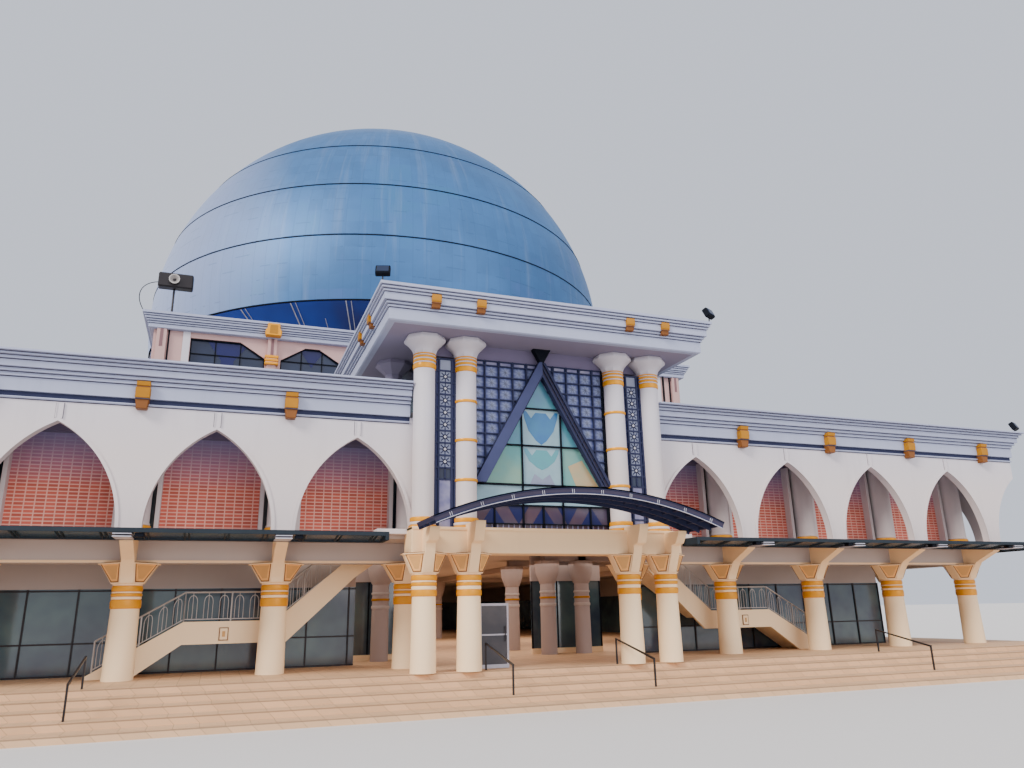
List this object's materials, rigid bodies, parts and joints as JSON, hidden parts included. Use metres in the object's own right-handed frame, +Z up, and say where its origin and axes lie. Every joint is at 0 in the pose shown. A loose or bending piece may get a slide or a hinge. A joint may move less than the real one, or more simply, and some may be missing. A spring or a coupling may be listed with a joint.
{
  "type": "mosque building, 1:2 scale model",
  "caption": "Domed mosque building with a stepped platform, colonnades, arched galleries, parapets, an entrance portico and a block that carries the dome.",
  "frame": {"origin": "on the ground under the dome's centre, the middle of the stepped base's underside", "axes": "+Z up, -Y out of the entrance front, +X to the right of someone facing the entrance"},
  "size_m": [28.84, 35.59, 19.54],
  "materials": {
    "white_render": "painted render",
    "cream_render": "painted render",
    "platform_stone": "honed slabs",
    "brick_wall": "brick panels",
    "block_render": "painted render",
    "navy_paint": "satin",
    "clear_glass": "tinted float glass",
    "dome_metal": "blue anodised sheets",
    "dark_steel": "dark pipe"
  },
  "bodies": {
    "root": {"arcade_back": "white_render", "arcade_front_left": "white_render", "arcade_front_right": "white_render", "arcade_left": "white_render", "arcade_right": "white_render", "awning_left": "navy_paint", "awning_right": "navy_paint", "base_step_1": "platform_stone", "base_step_2": "platform_stone", "base_step_3": "platform_stone", "base_step_4": "platform_stone", "block_cornice": "white_render", "block_glass": "clear_glass", "block_roof": "white_render", "block_wall_back": "block_render", "block_wall_front": "block_render", "block_wall_left": "block_render", "block_wall_right": "block_render", "bow_canopy": "navy_paint", "canopy_cornice": "white_render", "canopy_deck": "white_render", "colonnade_back": "cream_render", "colonnade_front_left": "cream_render", "colonnade_front_right": "cream_render", "colonnade_left": "cream_render", "colonnade_right": "cream_render", "dome_shell": "dome_metal", "drum_glass": "clear_glass", "facade_frame": "navy_paint", "facade_glass": "clear_glass", "floor_slab": "platform_stone", "gallery_glass": "clear_glass", "gallery_wall_back": "brick_wall", "gallery_wall_front_left": "brick_wall", "gallery_wall_front_right": "brick_wall", "gallery_wall_left": "brick_wall", "gallery_wall_right": "brick_wall", "hall_frame_left": "cream_render", "hall_frame_right": "cream_render", "hall_glass": "clear_glass", "hall_header": "cream_render", "handrail_inner_left": "dark_steel", "handrail_inner_right": "dark_steel", "handrail_outer_left": "dark_steel", "handrail_outer_right": "dark_steel", "lobby_glass_left": "clear_glass", "lobby_glass_right": "clear_glass", "parapet": "white_render", "portico_frame": "cream_render", "roof_slab": "white_render", "side_screen_left": "navy_paint", "side_screen_right": "navy_paint", "stair_lower_flight_left": "cream_render", "stair_lower_flight_right": "cream_render", "stair_railing_left": "dark_steel", "stair_railing_right": "dark_steel", "stair_upper_flight_left": "cream_render", "stair_upper_flight_right": "cream_render", "upper_floor_front": "white_render", "upper_floor_hall": "white_render"}
  },
  "joints": []
}
